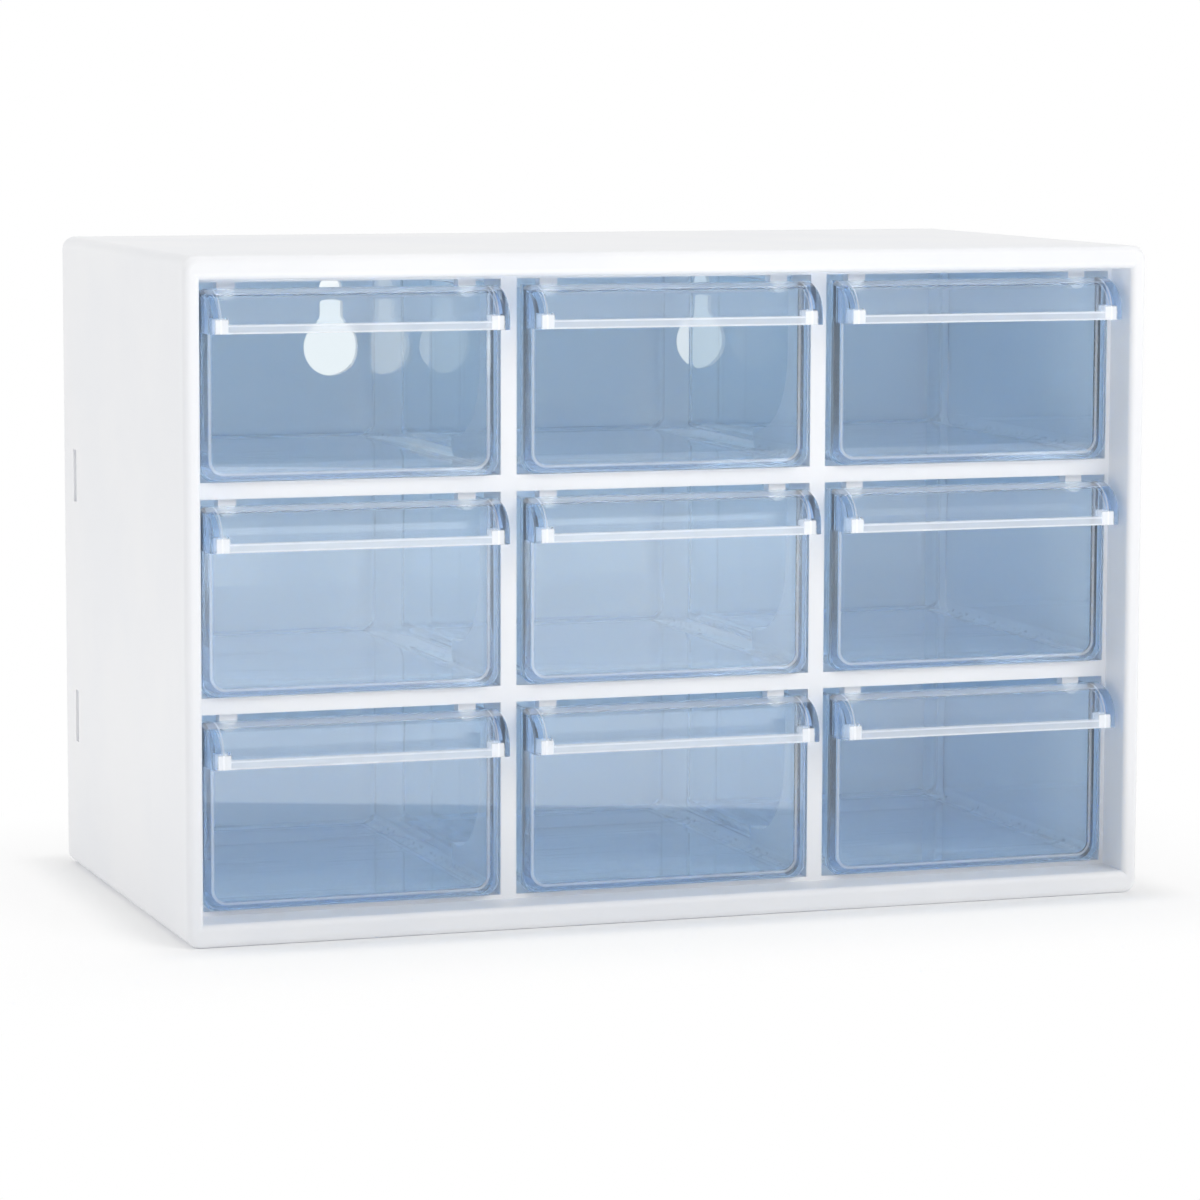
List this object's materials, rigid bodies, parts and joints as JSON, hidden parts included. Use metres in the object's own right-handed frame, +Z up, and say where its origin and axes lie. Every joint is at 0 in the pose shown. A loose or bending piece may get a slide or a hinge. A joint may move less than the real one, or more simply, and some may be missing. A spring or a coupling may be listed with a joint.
{
  "type": "drawer organizer",
  "caption": "Small desktop organizer: a white moulded cabinet with a grid of clear blue pull-out drawers, each with a full-width cup pull.",
  "frame": {"origin": "centre of the footprint, on the surface that the cabinet stands on", "axes": "+Z up, drawers pull out towards -Y, +X to the right as seen from the front"},
  "size_m": [0.184, 0.096, 0.1219],
  "materials": {
    "white_plastic": "semi-gloss moulded white",
    "clear_blue_plastic": "clear, blue tint, gloss"
  },
  "bodies": {
    "cabinet": {"cabinet_shell": "white_plastic", "back_panel": "white_plastic"},
    "drawer_bottom_left": {"drawer_bottom_left": "clear_blue_plastic"},
    "drawer_bottom_centre": {"drawer_bottom_centre": "clear_blue_plastic"},
    "drawer_bottom_right": {"drawer_bottom_right": "clear_blue_plastic"},
    "drawer_middle_left": {"drawer_middle_left": "clear_blue_plastic"},
    "drawer_middle_centre": {"drawer_middle_centre": "clear_blue_plastic"},
    "drawer_middle_right": {"drawer_middle_right": "clear_blue_plastic"},
    "drawer_top_left": {"drawer_top_left": "clear_blue_plastic"},
    "drawer_top_centre": {"drawer_top_centre": "clear_blue_plastic"},
    "drawer_top_right": {"drawer_top_right": "clear_blue_plastic"}
  },
  "joints": [
    {"name": "drawer_bottom_left_slide", "type": "slide", "parent": "cabinet", "child": "drawer_bottom_left", "axis": [0, -1, 0], "range_m": [0, 0.0738]},
    {"name": "drawer_bottom_centre_slide", "type": "slide", "parent": "cabinet", "child": "drawer_bottom_centre", "axis": [0, -1, 0], "range_m": [0, 0.0738]},
    {"name": "drawer_bottom_right_slide", "type": "slide", "parent": "cabinet", "child": "drawer_bottom_right", "axis": [0, -1, 0], "range_m": [0, 0.0738]},
    {"name": "drawer_middle_left_slide", "type": "slide", "parent": "cabinet", "child": "drawer_middle_left", "axis": [0, -1, 0], "range_m": [0, 0.0738]},
    {"name": "drawer_middle_centre_slide", "type": "slide", "parent": "cabinet", "child": "drawer_middle_centre", "axis": [0, -1, 0], "range_m": [0, 0.0738]},
    {"name": "drawer_middle_right_slide", "type": "slide", "parent": "cabinet", "child": "drawer_middle_right", "axis": [0, -1, 0], "range_m": [0, 0.0738]},
    {"name": "drawer_top_left_slide", "type": "slide", "parent": "cabinet", "child": "drawer_top_left", "axis": [0, -1, 0], "range_m": [0, 0.0738]},
    {"name": "drawer_top_centre_slide", "type": "slide", "parent": "cabinet", "child": "drawer_top_centre", "axis": [0, -1, 0], "range_m": [0, 0.0738]},
    {"name": "drawer_top_right_slide", "type": "slide", "parent": "cabinet", "child": "drawer_top_right", "axis": [0, -1, 0], "range_m": [0, 0.0738]}
  ]
}
